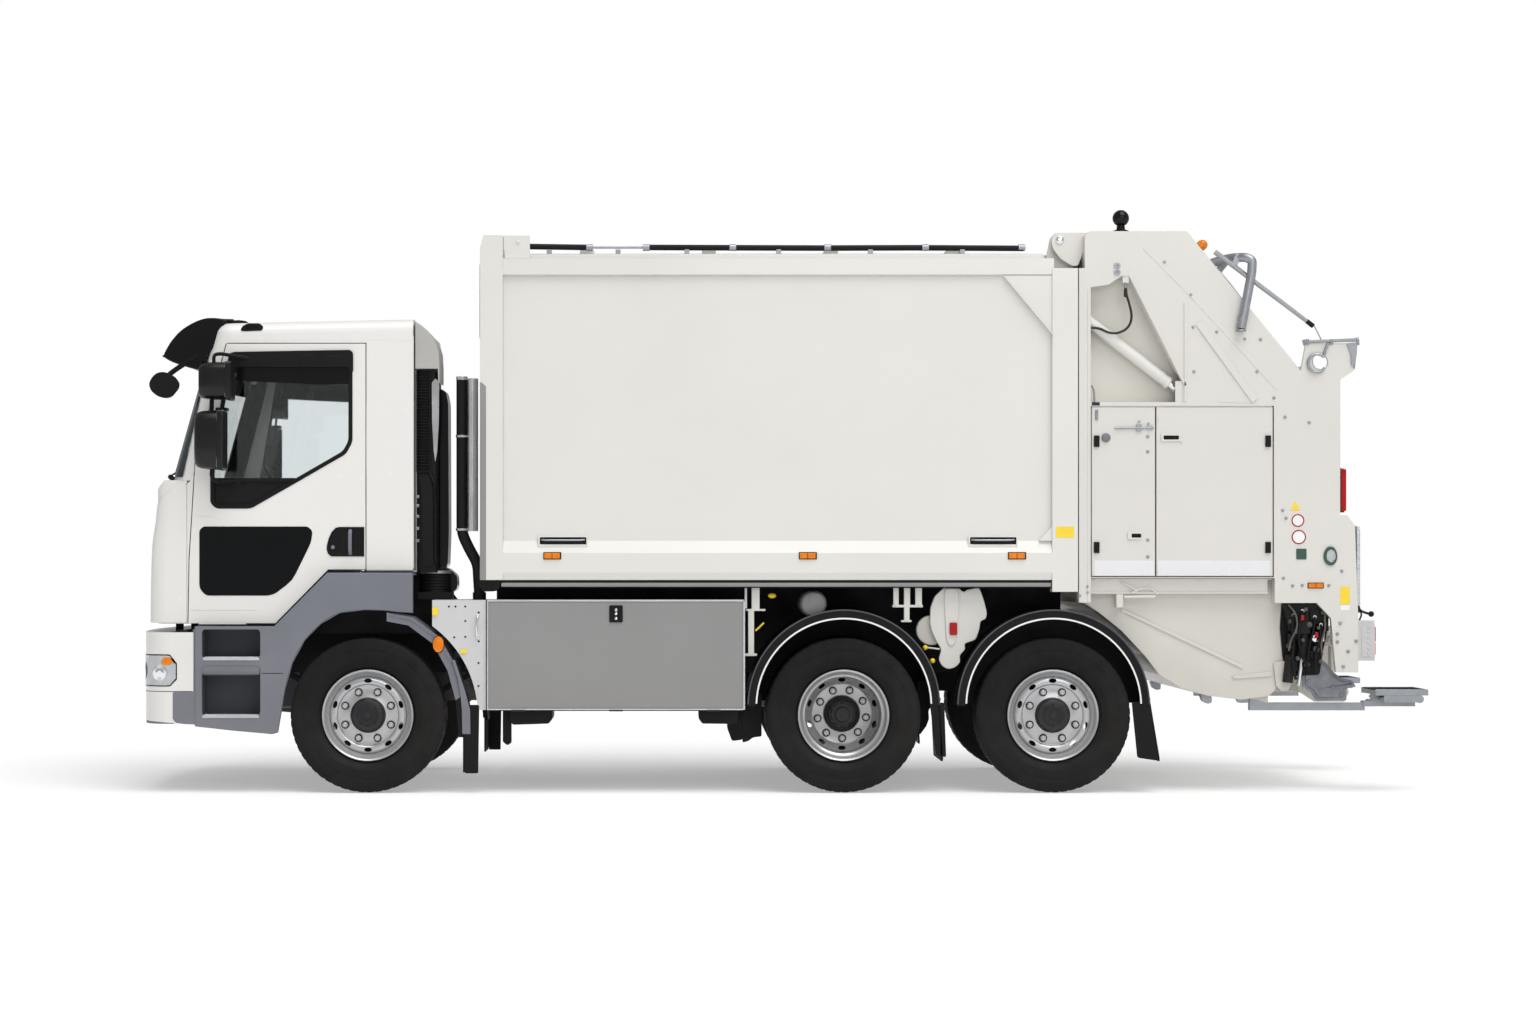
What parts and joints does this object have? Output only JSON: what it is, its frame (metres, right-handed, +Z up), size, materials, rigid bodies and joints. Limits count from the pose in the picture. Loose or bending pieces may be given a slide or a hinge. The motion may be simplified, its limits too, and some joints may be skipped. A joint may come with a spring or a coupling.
{
  "type": "garbage truck",
  "caption": "White three-axle rear-loading garbage truck with a tilting cab, lifting tailgate, packer and folding footboards.",
  "frame": {"origin": "on the road, under the middle of the overall length and width", "axes": "+Z up, +X towards the rear, +Y towards the vehicle's right"},
  "size_m": [8.5, 2.94, 3.811],
  "materials": {
    "white_paint": "gloss",
    "grey_paint": "satin",
    "slate_plastic": "matte",
    "black_plastic": "matte",
    "black_steel": "satin",
    "rim_steel": "satin",
    "bright_steel": "polished",
    "tread_alu": "satin",
    "tyre_rubber": "matte",
    "hose_rubber": "matte",
    "window_glass": "polished",
    "smoked_visor": "gloss",
    "seat_fabric": "matte"
  },
  "bodies": {
    "chassis": {"chassis_frame": "black_steel", "front_axle": "black_steel", "drive_axle": "black_steel", "tag_axle": "black_steel", "engine_and_gearbox": "black_steel", "front_bumper": "slate_plastic", "cab_steps": "slate_plastic", "mudguards": "slate_plastic", "air_intake": "black_plastic", "exhaust_stack": "bright_steel", "side_lockers_and_tank": "grey_paint", "body_floor": "white_paint", "body_left_side": "white_paint", "body_right_side": "white_paint", "body_roof": "white_paint", "body_front_wall": "white_paint"},
    "cab": {"cab_shell": "white_paint", "cab_roof": "white_paint", "cab_front_panel": "white_paint", "windscreen": "window_glass", "sun_visor": "smoked_visor", "seats": "seat_fabric", "dashboard": "black_plastic"},
    "tailgate": {"tailgate_left_wall": "white_paint", "tailgate_right_wall": "white_paint", "tailgate_cover": "white_paint", "hopper_floor": "white_paint", "tailgate_fittings": "black_plastic", "lift_hose": "hose_rubber"},
    "front_service_door_leaf": {"front_service_door": "white_paint"},
    "rear_service_door_leaf": {"rear_service_door": "white_paint"},
    "carriage": {"packer_carriage": "white_paint"},
    "blade": {"packer_blade": "white_paint"},
    "lifter": {"bin_lifter": "white_paint"},
    "left_door_leaf": {"left_door": "white_paint", "left_door_glass": "window_glass", "left_mirrors": "black_plastic"},
    "left_steering": {"left_knuckle": "black_steel"},
    "front_left_wheel": {"front_left_tyre": "tyre_rubber", "front_left_rim": "rim_steel"},
    "drive_left_wheels": {"drive_left_tyres": "tyre_rubber", "drive_left_rims": "rim_steel"},
    "tag_left_wheel": {"tag_left_tyre": "tyre_rubber", "tag_left_rim": "rim_steel"},
    "left_ram_tube": {"left_ram_barrel": "black_steel"},
    "left_ram_stem": {"left_ram_rod": "bright_steel"},
    "left_step_board": {"left_footboard": "black_steel"},
    "right_door_leaf": {"right_door": "white_paint", "right_door_glass": "window_glass", "right_mirrors": "black_plastic"},
    "right_steering": {"right_knuckle": "black_steel"},
    "front_right_wheel": {"front_right_tyre": "tyre_rubber", "front_right_rim": "rim_steel"},
    "drive_right_wheels": {"drive_right_tyres": "tyre_rubber", "drive_right_rims": "rim_steel"},
    "tag_right_wheel": {"tag_right_tyre": "tyre_rubber", "tag_right_rim": "rim_steel"},
    "right_ram_tube": {"right_ram_barrel": "black_steel"},
    "right_ram_stem": {"right_ram_rod": "bright_steel"},
    "right_step_board": {"right_footboard": "black_steel"}
  },
  "joints": [
    {"name": "cab_tilt", "type": "hinge", "parent": "chassis", "child": "cab", "pos_m": [-4.061, 0, 0.7], "axis": [0, -1, 0], "range_deg": [0, 58]},
    {"name": "left_steer", "type": "hinge", "parent": "chassis", "child": "left_steering", "pos_m": [-2.686, -0.92, 0.507], "axis": [0, 0, 1], "range_deg": [-35, 35]},
    {"name": "front_left_spin", "type": "hinge", "parent": "left_steering", "child": "front_left_wheel", "pos_m": [-2.686, -1.0825, 0.507], "axis": [0, -1, 0], "continuous": true},
    {"name": "drive_left_spin", "type": "hinge", "parent": "chassis", "child": "drive_left_wheels", "pos_m": [0.424, -0.925, 0.507], "axis": [0, -1, 0], "continuous": true},
    {"name": "tag_left_spin", "type": "hinge", "parent": "chassis", "child": "tag_left_wheel", "pos_m": [1.793, -1.0825, 0.507], "axis": [0, -1, 0], "continuous": true},
    {"name": "left_door_hinge", "type": "hinge", "parent": "cab", "child": "left_door_leaf", "pos_m": [-3.868, -1.15, 1.75], "axis": [0, 0, -1], "range_deg": [0, 70]},
    {"name": "right_steer", "type": "hinge", "parent": "chassis", "child": "right_steering", "pos_m": [-2.686, 0.92, 0.507], "axis": [0, 0, 1], "range_deg": [-35, 35]},
    {"name": "front_right_spin", "type": "hinge", "parent": "right_steering", "child": "front_right_wheel", "pos_m": [-2.686, 1.0825, 0.507], "axis": [0, -1, 0], "continuous": true},
    {"name": "drive_right_spin", "type": "hinge", "parent": "chassis", "child": "drive_right_wheels", "pos_m": [0.424, 0.925, 0.507], "axis": [0, -1, 0], "continuous": true},
    {"name": "tag_right_spin", "type": "hinge", "parent": "chassis", "child": "tag_right_wheel", "pos_m": [1.793, 1.0825, 0.507], "axis": [0, -1, 0], "continuous": true},
    {"name": "right_door_hinge", "type": "hinge", "parent": "cab", "child": "right_door_leaf", "pos_m": [-3.868, 1.15, 1.75], "axis": [0, 0, 1], "range_deg": [0, 70]},
    {"name": "tailgate_lift", "type": "hinge", "parent": "chassis", "child": "tailgate", "pos_m": [1.842, 0, 3.617], "axis": [0, -1, 0], "range_deg": [0, 75]},
    {"name": "left_ram_swing", "type": "hinge", "parent": "chassis", "child": "left_ram_tube", "pos_m": [1.845, -1.186, 3.226], "axis": [0, -1, 0], "range_deg": [0, 77.53]},
    {"name": "left_ram_extend", "type": "slide", "parent": "left_ram_tube", "child": "left_ram_stem", "axis": [0.7901, 0, -0.613], "range_m": [0, 0.4703]},
    {"name": "right_ram_swing", "type": "hinge", "parent": "chassis", "child": "right_ram_tube", "pos_m": [1.845, 1.186, 3.226], "axis": [0, -1, 0], "range_deg": [0, 77.53]},
    {"name": "right_ram_extend", "type": "slide", "parent": "right_ram_tube", "child": "right_ram_stem", "axis": [0.7901, 0, -0.613], "range_m": [0, 0.4703]},
    {"name": "carriage_slide", "type": "slide", "parent": "tailgate", "child": "carriage", "axis": [-0.6321, 0, 0.7749], "range_m": [0, 0.45]},
    {"name": "blade_swing", "type": "hinge", "parent": "carriage", "child": "blade", "pos_m": [3.3308, 0, 2.27839], "axis": [0, -1, 0], "range_deg": [0, 60]},
    {"name": "bin_lift", "type": "hinge", "parent": "tailgate", "child": "lifter", "pos_m": [3.64, 0, 0.994], "axis": [0, -1, 0], "range_deg": [0, 140]},
    {"name": "front_service_hinge", "type": "hinge", "parent": "tailgate", "child": "front_service_door_leaf", "pos_m": [2.04, -1.245, 1.969], "axis": [0, 0, -1], "range_deg": [0, 100]},
    {"name": "rear_service_hinge", "type": "hinge", "parent": "tailgate", "child": "rear_service_door_leaf", "pos_m": [3.222, -1.245, 1.969], "axis": [0, 0, 1], "range_deg": [0, 100]},
    {"name": "left_footboard_fold", "type": "hinge", "parent": "tailgate", "child": "left_step_board", "pos_m": [3.889, -1.06, 0.585], "axis": [0, -1, 0], "range_deg": [0, 85]},
    {"name": "right_footboard_fold", "type": "hinge", "parent": "tailgate", "child": "right_step_board", "pos_m": [3.889, 1.06, 0.585], "axis": [0, -1, 0], "range_deg": [0, 85]}
  ],
  "couplings": [
    {"joint": "right_steer", "follows": "left_steer", "ratio": 1},
    {"joint": "left_ram_swing", "follows": "tailgate_lift", "ratio": 1.0337},
    {"joint": "left_ram_extend", "follows": "tailgate_lift", "m_per_rad": 0.3593},
    {"joint": "right_ram_swing", "follows": "tailgate_lift", "ratio": 1.0337},
    {"joint": "right_ram_extend", "follows": "tailgate_lift", "m_per_rad": 0.3593}
  ]
}
